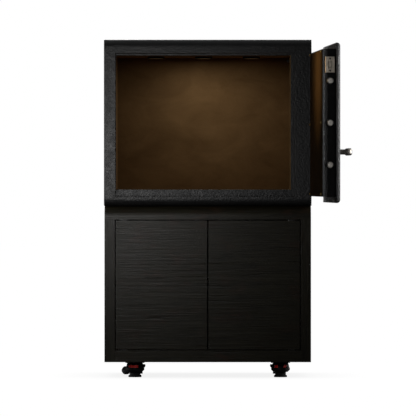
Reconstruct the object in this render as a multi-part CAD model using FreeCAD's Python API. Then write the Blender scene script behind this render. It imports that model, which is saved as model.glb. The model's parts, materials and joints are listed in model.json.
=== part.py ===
import FreeCAD, Part
import math
import os

# Bar armoire: a lined steel safe with its door open, on a black wooden cabinet with levelling casters.
# Millimetres. Origin on the floor under the middle of the cabinet, +X to the right, +Y to the back, +Z up.
# The safe door and all that it carries are built closed, then turned about the hinge to where they rest.

# Overall sizes
depth = 508.0
safe_width = 762.0
safe_height = 610.0
cabinet_inset = 2.0  # sides of the cabinet inside the safe's
cabinet_height = 574.0
caster_height = 57.0
edge_radius = 27.0  # rounded front edges of the safe and of the cabinet top

# Clearances that many pieces share
overrun = 12.0  # how far a cutting tool passes beyond what it cuts
running_fit = 0.06  # radial play of a pin or shaft that turns or slides
seat_gap = 0.3  # play between faces that move past each other
touch = 0.01  # how near an edge has to lie to be the one looked for

# Safe body
shell_wall = 6.0
left_stile = 42.0  # front face left of the door opening
right_stile = 61.0
sill_height = 33.0  # front face under the opening
head_height = 49.0
jamb_wall = 6.0
jamb_depth = 62.0  # from the front face to where the lined inside begins
strike_play = 1.5  # room round a bolt in its window in the strike jamb

# Lined inside
side_lining_wall = 12.0
left_lining_step = 1.0  # lining face inside the edge of the opening
right_lining_step = 12.0
ceiling_lining_wall = 8.0
back_lining_wall = 8.0
back_fill_wall = 24.0
deck_rise = 27.0  # lined floor above the lower edge of the opening
deck_wall = 12.0
riser_wall = 6.0

# Lights and sensor under the ceiling
light_count = 3
light_pitch = 177.0
light_depth = 230.0
light_radius = 32.0
light_height = 8.0
lens_radius = 26.0
lens_wall = 3.0
sensor_radius = 5.0
sensor_length = 24.0
sensor_reach = 12.0  # sensor axis from the right lining
sensor_drop = 20.0  # sensor axis under the ceiling
sensor_setback = 8.0  # front end behind the edge of the lining

# Safe door, as it is when closed
rest_angle = 92.5  # how far the door stands open, degrees
door_gap = 0.5  # door plate in front of the safe's front face
plate_wall = 15.0
plate_edge_radius = 12.0  # rounded top and bottom edges
plate_side_radius = 8.0  # rounded lock edge
plate_cover_left = 16.0  # plate beyond the edge of the opening
plate_cover_right = 35.0
plate_cover_ends = 20.0
pan_play_side = 8.0  # tray inside the opening
pan_play_ends = 2.0
pan_reach = 40.0  # tray edge behind the safe's front face
pan_wall = 3.0
pan_lip = 14.0
panel_wall = 6.0
trim_width = 3.0
panel_screw_inset = 8.5
panel_screw_head_radius = 3.5
panel_screw_head = 1.5
panel_screw_radius = 2.0

# Hinges on the right side of the safe
hinge_depth = 24.0  # axis behind the front face
hinge_inset = 114.0  # hinge from the ends of the door plate
knuckle_radius = 9.0
knuckle_length = 40.0
hinge_pin_radius = 6.0
pin_end_gap = 2.0
leaf_wall = 6.0
knuckle_gap = 1.0  # turning knuckle beside the leaf
leaf_front = 16.0  # leaf in front of the axis
leaf_back = 29.0
arm_gap = 3.0  # arm in front of the safe's front face
arm_wall = 10.0
arm_web = 12.0

# Bolt work and handle
bolt_radius = 12.0
bolt_depth_share = 0.464  # bolt axis between the base and the lip of the tray
bolt_lock_pitch = 57.0  # upper bolt under the middle of the lock
bolt_proud = 5.0  # bolt ends outside the tray when drawn back
bolt_chamfer = 1.5
bar_inset = 41.0  # bolt bar behind the lock edge of the tray
bar_width = 28.0
bar_wall = 12.0
bar_overhang = 24.0  # bar beyond the outer bolts
tooth_module = 1.5
tooth_count = 18
pressure_angle = 20.0
flank_points = 5  # points that a tooth flank is drawn through
backlash = 0.2
addendum_share = 1.0
dedendum_share = 1.25
pinion_wall = 10.0
rack_spine = 14.0
rack_teeth = 14
rack_lead_teeth = 4  # rack teeth between the bar side and the pinion
guide_length = 40.0
guide_height = 14.0
guide_reach = 25.0
handle_inset = 250.0  # handle axis from the lock edge of the plate
handle_drop = 102.0  # handle axis under the middle of the opening
spindle_radius = 7.0
sleeve_radius = 10.0
rose_radius = 22.0
rose_wall = 5.0
neck_radius = 9.5
neck_reach = 32.0  # grip in front of the plate
grip_depth = 20.0
grip_height = 26.0
grip_length = 110.0  # grip end from the axis
grip_heel = 16.0  # grip on the other side of the axis
grip_round_share = 0.4  # rounding of the grip's edges, of its depth
spindle_seat = 12.0  # spindle end inside the grip

# Lock on the lock edge of the door and keypad on its face
lock_drop = 56.0  # lock middle under the top of the tray
lock_height = 58.0
lock_edge_gap = 2.75  # face plate inside the edges of the tray
lock_face_wall = 3.0
lock_rim = 3.0  # face plate beyond the case
lock_case_length = 60.0
lock_bolt_height = 24.0
lock_bolt_width = 14.0
lock_bolt_length = 40.0
lock_bolt_proud = 1.0
lock_bolt_throw = 12.0
lock_bolt_chamfer = 1.5
keypad_rise = 62.0  # keypad middle above the middle of the opening
keypad_width = 80.0
keypad_height = 120.0
keypad_wall = 8.0
keypad_radius = 10.0

# Cabinet
cabinet_side_wall = 38.0
cabinet_top_wall = 51.0
cabinet_bottom_wall = 43.5
cabinet_back_wall = 9.0
cabinet_back_inset = 3.0
cabinet_door_wall = 22.0
cabinet_door_gap = 3.0
cabinet_meeting_gap = 4.0
shelf_wall = 22.0
shelf_play = 1.0
shelf_setback = 60.0
shelf_height = 230.0  # shelf underside above the cabinet bottom panel
shelf_pin_radius = 3.0
shelf_pin_length = 20.0
shelf_pin_inset = 60.0  # pin from the shelf's front and back edges
pivot_inset = 20.0  # pivot axis from the hinge edge of a cabinet door
pivot_depth = 8.0  # pivot axis behind the front face
pivot_pin_radius = 4.0
pivot_pin_length = 16.0
pivot_plate_radius = 7.0
pivot_plate_length = 34.0
latch_offset = 42.0  # push latch from the middle of the cabinet
latch_width = 18.0
latch_height = 20.0
latch_length = 66.0
latch_setback = 10.0  # latch body behind the door
plunger_radius = 4.0
plunger_length = 34.0
plunger_travel = 4.0
anchor_radius = 5.0
anchor_head_radius = 9.0
anchor_head = 7.0
anchor_thread = 20.0  # bolt length inside the safe's fill
anchor_inset_x = 150.0
anchor_inset_y = 130.0

# Levelling casters
caster_inset_x = 111.0  # caster axis from the side of the cabinet
caster_inset_y = 75.0
caster_yaws = {"front_left": 145.0, "front_right": 90.0, "back_left": 105.0, "back_right": 60.0}
caster_plate_side = 70.0
caster_plate_wall = 4.0
caster_plate_corner = 6.0
post_radius = 13.0
flange_radius = 17.0
flange_wall = 2.0
ring_wall = 6.0
housing_radius = 34.5
housing_top_radius = 27.0
housing_chamfer = 8.0
shoulder_drop = 15.0  # where the dome begins under the ring
pillar_width = 20.0
stem_radius = 6.0
stem_bore_play = 2.0
pad_radius = 24.0
pad_height = 8.0
pad_chamfer = 2.0
hub_radius = 20.0  # boss on the pad, which rises into the housing
hub_play = 1.0
hub_lap = 1.0  # hub inside the housing while the pad carries the load
foot_travel = 10.0
pad_clear = 1.0  # raised pad under the housing
stem_end_drop = 7.0  # stem end under the cabinet
thumbwheel_radius = 23.0
thumbwheel_height = 9.0
thumbwheel_play = 1.5
thumbwheel_grips = 12
grip_notch_radius = 2.5
wheel_radius = 15.0
wheel_width = 15.0
wheel_chamfer = 1.5
wheel_offset = 40.0
wheel_height = 24.0  # axle above the floor while the pads carry the load
wheel_play = 1.5
fork_wall = 6.0
fork_radius = 10.0
axle_radius = 3.0

# Places worked out from the sizes above
Vector = FreeCAD.Vector
Y_AXIS = Vector(0, 1, 0)
Z_AXIS = Vector(0, 0, 1)

front = -depth / 2
back = depth / 2
cabinet_z = caster_height
safe_z = cabinet_z + cabinet_height
safe_top = safe_z + safe_height
safe_right = safe_width / 2
safe_left = -safe_right
cabinet_right = safe_right - cabinet_inset

open_left = safe_left + left_stile
open_right = safe_right - right_stile
open_low = safe_z + sill_height
open_high = safe_top - head_height
open_middle = (open_low + open_high) / 2

inner_left = safe_left + shell_wall
inner_right = safe_right - shell_wall
inner_low = safe_z + shell_wall
inner_high = safe_top - shell_wall
jamb_back = front + jamb_depth
lining_left = open_left + left_lining_step
lining_right = open_right - right_lining_step
fill_left = lining_left - side_lining_wall
fill_right = lining_right + side_lining_wall
fill_back = back - shell_wall - back_fill_wall
lining_back = fill_back - back_lining_wall
ceiling = open_high - ceiling_lining_wall
deck = open_low + deck_rise

plate_back = front - door_gap
plate_front = plate_back - plate_wall
plate_left = open_left - plate_cover_left
plate_right = open_right + plate_cover_right
plate_low = open_low - plate_cover_ends
plate_high = open_high + plate_cover_ends
pan_left = open_left + pan_play_side
pan_right = open_right - pan_play_side
pan_low = open_low + pan_play_ends
pan_high = open_high - pan_play_ends
pan_back = front + pan_reach
panel_back = pan_back + panel_wall

hinge_x = safe_right + leaf_wall + knuckle_gap + knuckle_radius
hinge_y = front + hinge_depth
hinge_levels = [plate_low + hinge_inset, plate_high - hinge_inset]
bolt_y = plate_back + pan_wall + bolt_depth_share * (pan_back - plate_back - 2 * pan_wall)
lock_y = (plate_back + pan_back) / 2
lock_z = pan_high - lock_drop
lock_width = pan_back - plate_back - 2 * lock_edge_gap
lock_face = pan_left - lock_face_wall
bolt_pitch = lock_z - bolt_lock_pitch - open_middle
bolt_levels = [open_middle - bolt_pitch, open_middle, open_middle + bolt_pitch]
bar_left = pan_left + bar_inset
bar_right = bar_left + bar_width
pitch_radius = tooth_module * tooth_count / 2
tooth_pitch = math.pi * tooth_module
addendum = addendum_share * tooth_module
dedendum = dedendum_share * tooth_module
bolt_throw = pitch_radius * math.pi / 2
handle_x = plate_left + handle_inset
handle_z = open_middle - handle_drop
rack_pitch_z = handle_z + pitch_radius
rack_top = rack_pitch_z + dedendum + rack_spine
rack_right = handle_x + (rack_teeth - rack_lead_teeth) * tooth_pitch

cabinet_low = cabinet_z + cabinet_bottom_wall
cabinet_high = safe_z - cabinet_top_wall
cabinet_inner = cabinet_right - cabinet_side_wall
cabinet_back = back - cabinet_back_inset - cabinet_back_wall
shelf_low = cabinet_low + shelf_height
pivot_x = cabinet_inner - cabinet_door_gap - pivot_inset
pivot_y = front + pivot_depth
anchors = [(x, y) for x in (-anchor_inset_x, anchor_inset_x) for y in (-anchor_inset_y, anchor_inset_y)]

caster_x = cabinet_right - caster_inset_x
caster_y = back - caster_inset_y
caster_places = {
    "front_left": (-caster_x, -caster_y),
    "front_right": (caster_x, -caster_y),
    "back_left": (-caster_x, caster_y),
    "back_right": (caster_x, caster_y),
}
caster_plate_low = caster_height - caster_plate_wall
ring_top = caster_plate_low - seat_gap
ring_low = ring_top - ring_wall
flange_top = ring_low - seat_gap
flange_low = flange_top - flange_wall
thumbwheel_top = flange_low - seat_gap
thumbwheel_low = thumbwheel_top - thumbwheel_height
cavity_low = thumbwheel_low - seat_gap
housing_low = pad_height + foot_travel + pad_clear
hub_top = housing_low + hub_lap
stem_top = caster_height - stem_end_drop


def box(x0, x1, y0, y1, z0, z1):
    return Part.makeBox(x1 - x0, y1 - y0, z1 - z0, Vector(x0, y0, z0))


def rod(radius, start, end):
    run = end - start
    return Part.makeCylinder(radius, run.Length, start, run)


def upright(radius, x, y, z0, z1):
    return rod(radius, Vector(x, y, z0), Vector(x, y, z1))


def edges_at(shape, **place):
    """The edges whose middle has the coordinates given."""
    found = []
    for edge in shape.Edges:
        middle = edge.CenterOfMass
        if all(abs(getattr(middle, axis) - value) < touch for axis, value in place.items()):
            found.append(edge)
    return found


def fuse(pieces):
    return pieces[0].multiFuse(pieces[1:]).removeSplitter()


def save(name, *solids):
    shape = solids[0] if len(solids) == 1 else Part.makeCompound(list(solids))
    shape.exportStep(os.path.join("parts", name + ".step"))


def opened(solid):
    """A piece of the safe door, turned from closed to where it rests."""
    turned = solid.copy()
    turned.rotate(Vector(hinge_x, hinge_y, 0), Z_AXIS, rest_angle)
    return turned


# Safe body


def safe_block(x0, x1, inset, y1):
    """A block with the safe's rounded front edges, a wall inside its outline."""
    block = box(x0, x1, front + inset, y1, safe_z + inset, safe_top - inset)
    corners = edges_at(block, y=front + inset, z=safe_z + inset)
    corners += edges_at(block, y=front + inset, z=safe_top - inset)
    return block.makeFillet(edge_radius - inset, corners)


def safe_wrap():
    """Front, top and bottom bent from one plate, with the door opening cut out."""
    wrap = safe_block(inner_left, inner_right, 0, back)
    wrap = wrap.cut(safe_block(inner_left - overrun, inner_right + overrun, shell_wall, back + overrun))
    wrap = wrap.cut(box(open_left, open_right, front - overrun, front + shell_wall + overrun,
                        open_low, open_high))
    for x, y in anchors:
        wrap = wrap.cut(upright(anchor_radius, x, y, safe_z - overrun, inner_low + overrun))
    return wrap


def strike_jamb():
    """Left lining of the opening, with windows that the bolts shoot into."""
    jamb = box(open_left - jamb_wall, open_left, front + shell_wall, jamb_back, open_low, open_high)
    half = bolt_radius + strike_play
    windows = [(bolt_y - half, bolt_y + half, level - half, level + half) for level in bolt_levels]
    half_width = lock_bolt_width / 2 + strike_play
    half_height = lock_bolt_height / 2 + strike_play
    windows.append((lock_y - half_width, lock_y + half_width, lock_z - half_height, lock_z + half_height))
    for y0, y1, z0, z1 in windows:
        jamb = jamb.cut(box(open_left - jamb_wall - overrun, open_left + overrun, y0, y1, z0, z1))
    return jamb


def door_jamb():
    """Sill, right side and head of the opening."""
    outer = box(open_left - jamb_wall, open_right + jamb_wall, front + shell_wall, jamb_back,
                open_low - jamb_wall, open_high + jamb_wall)
    inside = box(open_left - jamb_wall - overrun, open_right, front, jamb_back + overrun, open_low, open_high)
    return outer.cut(inside)


def fire_fill():
    """Cast slabs between the steel shell and the lining."""
    low = box(fill_left, fill_right, jamb_back + riser_wall, fill_back, inner_low, deck - deck_wall)
    for x, y in anchors:
        low = low.cut(upright(anchor_radius, x, y, inner_low - overrun, inner_low + anchor_thread))
    return [
        box(inner_left, fill_left, jamb_back, fill_back, inner_low, inner_high),
        box(fill_right, inner_right, jamb_back, fill_back, inner_low, inner_high),
        box(fill_left, fill_right, jamb_back, fill_back, open_high, inner_high),
        low,
        box(inner_left, inner_right, fill_back, back - shell_wall, inner_low, inner_high),
    ]


def floor_deck():
    top = box(lining_left, lining_right, jamb_back, lining_back, deck - deck_wall, deck)
    riser = box(lining_left, lining_right, jamb_back, jamb_back + riser_wall, open_low, deck)
    return fuse([top, riser])


def linings():
    side_low = deck - deck_wall
    save("back_lining", box(fill_left, fill_right, lining_back, fill_back, side_low, open_high))
    save("side_linings",
         box(fill_left, lining_left, jamb_back, lining_back, side_low, open_high),
         box(lining_right, fill_right, jamb_back, lining_back, side_low, open_high))
    save("ceiling_lining", box(lining_left, lining_right, jamb_back, lining_back, ceiling, open_high))
    save("floor_deck", floor_deck())


def lights():
    """Round lamps under the ceiling, each a housing with a lens let into it."""
    middle = (lining_left + lining_right) / 2
    y = front + light_depth
    lens_top = ceiling - light_height + lens_wall
    housings = []
    lenses = []
    for i in range(light_count):
        x = middle + (i - (light_count - 1) / 2) * light_pitch
        housing = upright(light_radius, x, y, ceiling - light_height, ceiling)
        housings.append(housing.cut(upright(lens_radius, x, y, ceiling - light_height - overrun, lens_top)))
        lenses.append(upright(lens_radius, x, y, ceiling - light_height, lens_top))
    save("light_housings", *housings)
    save("light_lenses", *lenses)


def light_sensor():
    x = lining_right - sensor_reach
    y = jamb_back + sensor_setback
    z = ceiling - sensor_drop
    barrel = rod(sensor_radius, Vector(x, y, z), Vector(x, y + sensor_length, z))
    foot = box(x, lining_right, y + sensor_radius, y + sensor_length - sensor_radius,
               z - sensor_radius, z + sensor_radius)
    return fuse([barrel, foot])


def anchor_bolt(x, y):
    head = upright(anchor_head_radius, x, y, cabinet_high - anchor_head, cabinet_high)
    shank = upright(anchor_radius, x, y, cabinet_high - anchor_head, inner_low + anchor_thread)
    return fuse([head, shank])


def safe_body():
    save("safe_wrap", safe_wrap())
    save("safe_side_plates",
         safe_block(safe_left, inner_left, 0, back),
         safe_block(inner_right, safe_right, 0, back))
    save("safe_back_plate", box(inner_left, inner_right, back - shell_wall, back, inner_low, inner_high))
    save("strike_jamb", strike_jamb())
    save("door_jamb", door_jamb())
    save("fire_fill", *fire_fill())
    linings()
    lights()
    save("light_sensor", light_sensor())
    save("anchor_bolts", *[anchor_bolt(x, y) for x, y in anchors])


# Hinges


def hinge_leaf(level):
    """Leaf on the safe's side with the lower knuckle of a lift-off hinge."""
    low = level - knuckle_length
    high = level - seat_gap
    leaf = box(safe_right, safe_right + leaf_wall, hinge_y - leaf_front, hinge_y + leaf_back,
               low, level + knuckle_length)
    web = box(safe_right, hinge_x, hinge_y - knuckle_radius / 2, hinge_y + knuckle_radius / 2, low, high)
    knuckle = upright(knuckle_radius, hinge_x, hinge_y, low, high)
    bore = upright(hinge_pin_radius, hinge_x, hinge_y, low - overrun, level + overrun)
    return fuse([leaf, web, knuckle]).cut(bore)


def hinge_arm(level):
    """Arm from the edge of the door plate round the corner of the safe to the upper knuckle."""
    high = level + knuckle_length
    arm_back = front - arm_gap
    reach = box(plate_right, hinge_x + arm_web / 2, arm_back - arm_wall, arm_back, level, high)
    web = box(hinge_x - arm_web / 2, hinge_x + arm_web / 2, arm_back - arm_wall, hinge_y, level, high)
    knuckle = upright(knuckle_radius, hinge_x, hinge_y, level, high)
    arm = fuse([reach, web, knuckle])
    corner = edges_at(arm, x=hinge_x + arm_web / 2, y=arm_back - arm_wall)
    arm = arm.makeFillet(arm_wall - arm_gap, corner)
    return arm.cut(upright(hinge_pin_radius + running_fit, hinge_x, hinge_y, level - overrun, high + overrun))


def hinge_pin(level):
    return upright(hinge_pin_radius, hinge_x, hinge_y, level - knuckle_length,
                   level + knuckle_length - pin_end_gap)


def hinges():
    save("hinge_leaves", *[hinge_leaf(level) for level in hinge_levels])
    save("hinge_pins", *[hinge_pin(level) for level in hinge_levels])
    save("hinge_arms", *[opened(hinge_arm(level)) for level in hinge_levels])


# Safe door


def through_door(radius):
    """A hole for the handle, through plate and tray."""
    return rod(radius, Vector(handle_x, plate_front - overrun, handle_z),
               Vector(handle_x, plate_back + pan_wall + overrun, handle_z))


def door_plate():
    plate = box(plate_left, plate_right, plate_front, plate_back, plate_low, plate_high)
    ends = edges_at(plate, y=plate_front, z=plate_low) + edges_at(plate, y=plate_front, z=plate_high)
    plate = plate.makeFillet(plate_edge_radius, ends)
    side = [edge for edge in edges_at(plate, x=plate_left, y=plate_front) if edge.Length > plate_wall]
    return plate.makeFillet(plate_side_radius, side).cut(through_door(sleeve_radius))


def panel_screw_places():
    columns = (pan_left + panel_screw_inset, pan_right - panel_screw_inset)
    rows = (pan_low + panel_screw_inset, open_middle, pan_high - panel_screw_inset)
    return [(x, z) for x in columns for z in rows]


def door_pan():
    """Folded tray behind the plate: a base, four walls and a lip that the lining panel is screwed to."""
    pan = box(pan_left, pan_right, plate_back, pan_back, pan_low, pan_high)
    pan = pan.cut(box(pan_left + pan_wall, pan_right - pan_wall, plate_back + pan_wall, pan_back - pan_wall,
                      pan_low + pan_wall, pan_high - pan_wall))
    pan = pan.cut(box(pan_left + pan_lip, pan_right - pan_lip,
                      pan_back - pan_wall - overrun, pan_back + overrun,
                      pan_low + pan_lip, pan_high - pan_lip))
    for level in bolt_levels:
        pan = pan.cut(rod(bolt_radius + running_fit, Vector(pan_left - overrun, bolt_y, level),
                          Vector(pan_left + overrun, bolt_y, level)))
    half_width = lock_width / 2 - lock_rim
    half_height = lock_height / 2 - lock_rim
    pan = pan.cut(box(pan_left - overrun, pan_left + overrun, lock_y - half_width, lock_y + half_width,
                      lock_z - half_height, lock_z + half_height))
    for x, z in panel_screw_places():
        pan = pan.cut(rod(panel_screw_radius, Vector(x, pan_back - pan_wall - overrun, z),
                          Vector(x, pan_back + overrun, z)))
    guide_front = plate_back + pan_wall
    guide_low = rack_top + running_fit
    guide = box(handle_x - guide_length / 2, handle_x + guide_length / 2,
                guide_front, guide_front + guide_reach, guide_low, guide_low + guide_height)
    return fuse([pan.cut(through_door(sleeve_radius)), guide])


def door_panel():
    panel = box(pan_left + trim_width, pan_right - trim_width, pan_back, panel_back,
                pan_low + trim_width, pan_high - trim_width)
    for x, z in panel_screw_places():
        panel = panel.cut(rod(panel_screw_radius, Vector(x, pan_back - overrun, z),
                              Vector(x, panel_back + overrun, z)))
    return panel


def panel_trim():
    outer = box(pan_left, pan_right, pan_back, panel_back, pan_low, pan_high)
    return outer.cut(box(pan_left + trim_width, pan_right - trim_width,
                         pan_back - overrun, panel_back + overrun,
                         pan_low + trim_width, pan_high - trim_width))


def panel_screw(x, z):
    head = rod(panel_screw_head_radius, Vector(x, panel_back, z), Vector(x, panel_back + panel_screw_head, z))
    head = head.makeChamfer(panel_screw_head / 2, edges_at(head, y=panel_back + panel_screw_head))
    shank = rod(panel_screw_radius, Vector(x, pan_back - pan_wall, z), Vector(x, panel_back, z))
    return fuse([head, shank])


def lock_case():
    """Face plate on the lock edge with the lock's case behind it and a slot for its bolt."""
    plate = box(lock_face, pan_left, lock_y - lock_width / 2, lock_y + lock_width / 2,
                lock_z - lock_height / 2, lock_z + lock_height / 2)
    plate = plate.makeChamfer(lock_face_wall / 2, edges_at(plate, x=lock_face))
    case = box(pan_left, pan_left + lock_case_length, lock_y - lock_width / 2 + lock_rim,
               lock_y + lock_width / 2 - lock_rim, lock_z - lock_height / 2 + lock_rim,
               lock_z + lock_height / 2 - lock_rim)
    half_width = lock_bolt_width / 2 + running_fit
    half_height = lock_bolt_height / 2 + running_fit
    slot = box(lock_face - overrun, lock_face + lock_bolt_length, lock_y - half_width, lock_y + half_width,
               lock_z - half_height, lock_z + half_height)
    return fuse([plate, case]).cut(slot)


def lock_bolt():
    tip = lock_face - lock_bolt_proud
    bolt = box(tip, tip + lock_bolt_length, lock_y - lock_bolt_width / 2, lock_y + lock_bolt_width / 2,
               lock_z - lock_bolt_height / 2, lock_z + lock_bolt_height / 2)
    return bolt.makeChamfer(lock_bolt_chamfer, edges_at(bolt, x=tip))


def keypad():
    """Flat touch keypad with nothing on it that moves."""
    z = open_middle + keypad_rise
    pad = box(handle_x - keypad_width / 2, handle_x + keypad_width / 2,
              plate_front - keypad_wall, plate_front,
              z - keypad_height / 2, z + keypad_height / 2)
    corners = edges_at(pad, y=plate_front - keypad_wall / 2)
    return pad.makeFillet(keypad_radius, corners)


def handle_rose():
    sleeve = rod(sleeve_radius, Vector(handle_x, plate_front - rose_wall, handle_z),
                 Vector(handle_x, plate_back + pan_wall, handle_z))
    flange = rod(rose_radius, Vector(handle_x, plate_front - rose_wall, handle_z),
                 Vector(handle_x, plate_front, handle_z))
    flange = flange.makeChamfer(rose_wall / 2, edges_at(flange, y=plate_front - rose_wall))
    return fuse([sleeve, flange]).cut(through_door(spindle_radius + running_fit))


def safe_door():
    save("door_plate", opened(door_plate()))
    save("door_pan", opened(door_pan()))
    save("door_panel", opened(door_panel()))
    save("panel_trim", opened(panel_trim()))
    save("panel_screws", *[opened(panel_screw(x, z)) for x, z in panel_screw_places()])
    save("lock_case", opened(lock_case()))
    save("lock_bolt", opened(lock_bolt()))
    save("keypad", opened(keypad()))
    save("handle_rose", opened(handle_rose()))


# Handle and bolt work


def handle_spindle():
    """Neck outside the door and the spindle through it, up to the far side of the pinion."""
    neck = rod(neck_radius, Vector(handle_x, plate_front - neck_reach, handle_z),
               Vector(handle_x, plate_front - rose_wall - seat_gap, handle_z))
    spindle = rod(spindle_radius, Vector(handle_x, plate_front - neck_reach - spindle_seat, handle_z),
                  Vector(handle_x, bolt_y + pinion_wall / 2, handle_z))
    return fuse([neck, spindle])


def handle_lever():
    outer = plate_front - neck_reach - grip_depth
    grip = box(handle_x - grip_length, handle_x + grip_heel, outer, outer + grip_depth,
               handle_z - grip_height / 2, handle_z + grip_height / 2)
    grip = grip.makeFillet(grip_round_share * grip_depth, grip.Edges)
    socket = rod(spindle_radius, Vector(handle_x, plate_front - neck_reach - spindle_seat, handle_z),
                 Vector(handle_x, plate_front, handle_z))
    return grip.cut(socket)


def involute(angle):
    return math.tan(angle) - angle


def pinion_flank(radius_from, radius_to, side, tooth_angle):
    """Points of an involute tooth flank, measured round the pinion from straight up."""
    pressure = math.radians(pressure_angle)
    base = pitch_radius * math.cos(pressure)
    half_tooth = math.pi / (2 * tooth_count) - backlash / (4 * pitch_radius)
    points = []
    for i in range(flank_points):
        radius = radius_from + (radius_to - radius_from) * i / (flank_points - 1)
        lean = half_tooth + involute(pressure) - involute(math.acos(min(1, base / radius)))
        angle = tooth_angle + side * lean
        points.append(Vector(handle_x + radius * math.sin(angle), 0, handle_z + radius * math.cos(angle)))
    return points


def drive_pinion():
    """Involute pinion on the spindle that drives the rack of the bolt bar."""
    base = pitch_radius * math.cos(math.radians(pressure_angle))
    root = pitch_radius - dedendum
    tip = pitch_radius + addendum
    edges = []
    corners = []
    for i in range(tooth_count):
        tooth_angle = 2 * math.pi * i / tooth_count
        rise = pinion_flank(base, tip, -1, tooth_angle)
        fall = pinion_flank(tip, base, 1, tooth_angle)
        centre = Vector(handle_x, 0, handle_z)
        foot_in = centre + (rise[0] - centre) * (root / base)
        foot_out = centre + (fall[-1] - centre) * (root / base)
        for flank in (rise, fall):
            curve = Part.BSplineCurve()
            curve.interpolate(flank)
            edges.append(curve.toShape())
        edges.append(Part.makeLine(foot_in, rise[0]))
        edges.append(Part.makeLine(rise[-1], fall[0]))
        edges.append(Part.makeLine(fall[-1], foot_out))
        corners.append((foot_in, foot_out))
    for i in range(tooth_count):
        edges.append(Part.makeLine(corners[i][1], corners[(i + 1) % tooth_count][0]))
    outline = Part.Wire(Part.__sortEdges__(edges))
    gear = Part.Face(outline).extrude(Y_AXIS * pinion_wall)
    gear.translate(Y_AXIS * (bolt_y - pinion_wall / 2))
    return gear.cut(rod(spindle_radius, Vector(handle_x, bolt_y - pinion_wall, handle_z),
                        Vector(handle_x, bolt_y + pinion_wall, handle_z)))


def bolt_bar():
    """Flat bar that carries the bolts, with an arm cut as a rack over the pinion."""
    y0 = bolt_y - bar_wall / 2
    y1 = bolt_y + bar_wall / 2
    strip = box(bar_left, bar_right, y0, y1, bolt_levels[0] - bar_overhang, bolt_levels[-1] + bar_overhang)
    bar = fuse([strip, box(bar_left, rack_right, y0, y1, rack_pitch_z - addendum, rack_top)])
    slope = math.tan(math.radians(pressure_angle))
    half_gap = tooth_pitch / 4 + backlash / 4
    low = rack_pitch_z - addendum
    high = rack_pitch_z + dedendum
    low_half = half_gap + addendum * slope
    high_half = half_gap - dedendum * slope
    gaps = []
    for i in range(rack_teeth):
        x = handle_x + (i - rack_lead_teeth) * tooth_pitch
        corners = [(x - low_half, low), (x - high_half, high), (x + high_half, high), (x + low_half, low)]
        points = [Vector(px, y0 - overrun, pz) for px, pz in corners]
        face = Part.Face(Part.makePolygon(points + points[:1]))
        gaps.append(face.extrude(Y_AXIS * (bar_wall + 2 * overrun)))
    return bar.cut(gaps)


def locking_bolt(level):
    tip = pan_left - bolt_proud
    bolt = rod(bolt_radius, Vector(tip, bolt_y, level), Vector(bar_left, bolt_y, level))
    return bolt.makeChamfer(bolt_chamfer, edges_at(bolt, x=tip))


def bolt_work():
    save("handle_spindle", opened(handle_spindle()))
    save("handle_lever", opened(handle_lever()))
    save("drive_pinion", opened(drive_pinion()))
    save("bolt_bar", opened(bolt_bar()))
    save("locking_bolts", *[opened(locking_bolt(level)) for level in bolt_levels])


# Cabinet


def shelf_pin_places():
    shelf_front = front + shelf_setback
    return (shelf_front + shelf_pin_inset, cabinet_back - shelf_pin_inset)


def shelf_pin(side, y):
    z = shelf_low - shelf_pin_radius
    middle = side * cabinet_inner
    return rod(shelf_pin_radius, Vector(middle - shelf_pin_length / 2, y, z),
               Vector(middle + shelf_pin_length / 2, y, z))


def cabinet_side(side):
    x0, x1 = sorted((side * cabinet_inner, side * cabinet_right))
    panel = box(x0, x1, front, back, cabinet_z, cabinet_high)
    return panel.cut([shelf_pin(side, y) for y in shelf_pin_places()])


def cabinet_top():
    top = box(-cabinet_right, cabinet_right, front, back, cabinet_high, safe_z)
    top = top.makeFillet(edge_radius, edges_at(top, y=front, z=safe_z))
    holes = [upright(anchor_radius, x, y, cabinet_high - overrun, safe_z + overrun) for x, y in anchors]
    return top.cut(holes)


def cabinet_bottom():
    """Bottom panel with blind holes that the raised caster stems pass into."""
    panel = box(-cabinet_inner, cabinet_inner, front, back, cabinet_z, cabinet_low)
    hole_top = stem_top + foot_travel + stem_bore_play
    holes = [upright(stem_radius + stem_bore_play, x, y, cabinet_z - overrun, hole_top)
             for x, y in caster_places.values()]
    return panel.cut(holes)


def pivot_holes(side, play):
    """Blind holes for the two pivot pins in the ends of a cabinet door."""
    low = cabinet_low + cabinet_door_gap
    high = cabinet_high - cabinet_door_gap
    reach = pivot_pin_length + seat_gap
    x = side * pivot_x
    return [upright(pivot_pin_radius + play, x, pivot_y, low - overrun, cabinet_low + reach),
            upright(pivot_pin_radius + play, x, pivot_y, cabinet_high - reach, high + overrun)]


def cabinet_door(side):
    x0, x1 = sorted((side * cabinet_meeting_gap / 2, side * (cabinet_inner - cabinet_door_gap)))
    door = box(x0, x1, front, front + cabinet_door_wall, cabinet_low + cabinet_door_gap,
               cabinet_high - cabinet_door_gap)
    return door.cut(pivot_holes(side, running_fit))


def pivot_plate(side, base, direction):
    """Plate on the cabinet with the pin that a door turns on."""
    x = side * pivot_x
    wall = cabinet_door_gap - seat_gap
    inner = x - side * (pivot_plate_length - 2 * pivot_plate_radius)
    x0, x1 = sorted((inner, x))
    z0, z1 = sorted((base, base + direction * wall))
    p0, p1 = sorted((base, base + direction * pivot_pin_length))
    bar = box(x0, x1, pivot_y - pivot_plate_radius, pivot_y + pivot_plate_radius, z0, z1)
    ends = [upright(pivot_plate_radius, end, pivot_y, z0, z1) for end in (inner, x)]
    return fuse([bar, *ends, upright(pivot_pin_radius, x, pivot_y, p0, p1)])


def plunger(side, play, reach):
    """Plunger of a push latch, or with play and reach the bore that it slides in."""
    y = front + cabinet_door_wall + seat_gap
    z = cabinet_high - latch_height / 2
    x = side * latch_offset
    return rod(plunger_radius + play, Vector(x, y, z), Vector(x, y + plunger_length + reach, z))


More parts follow.
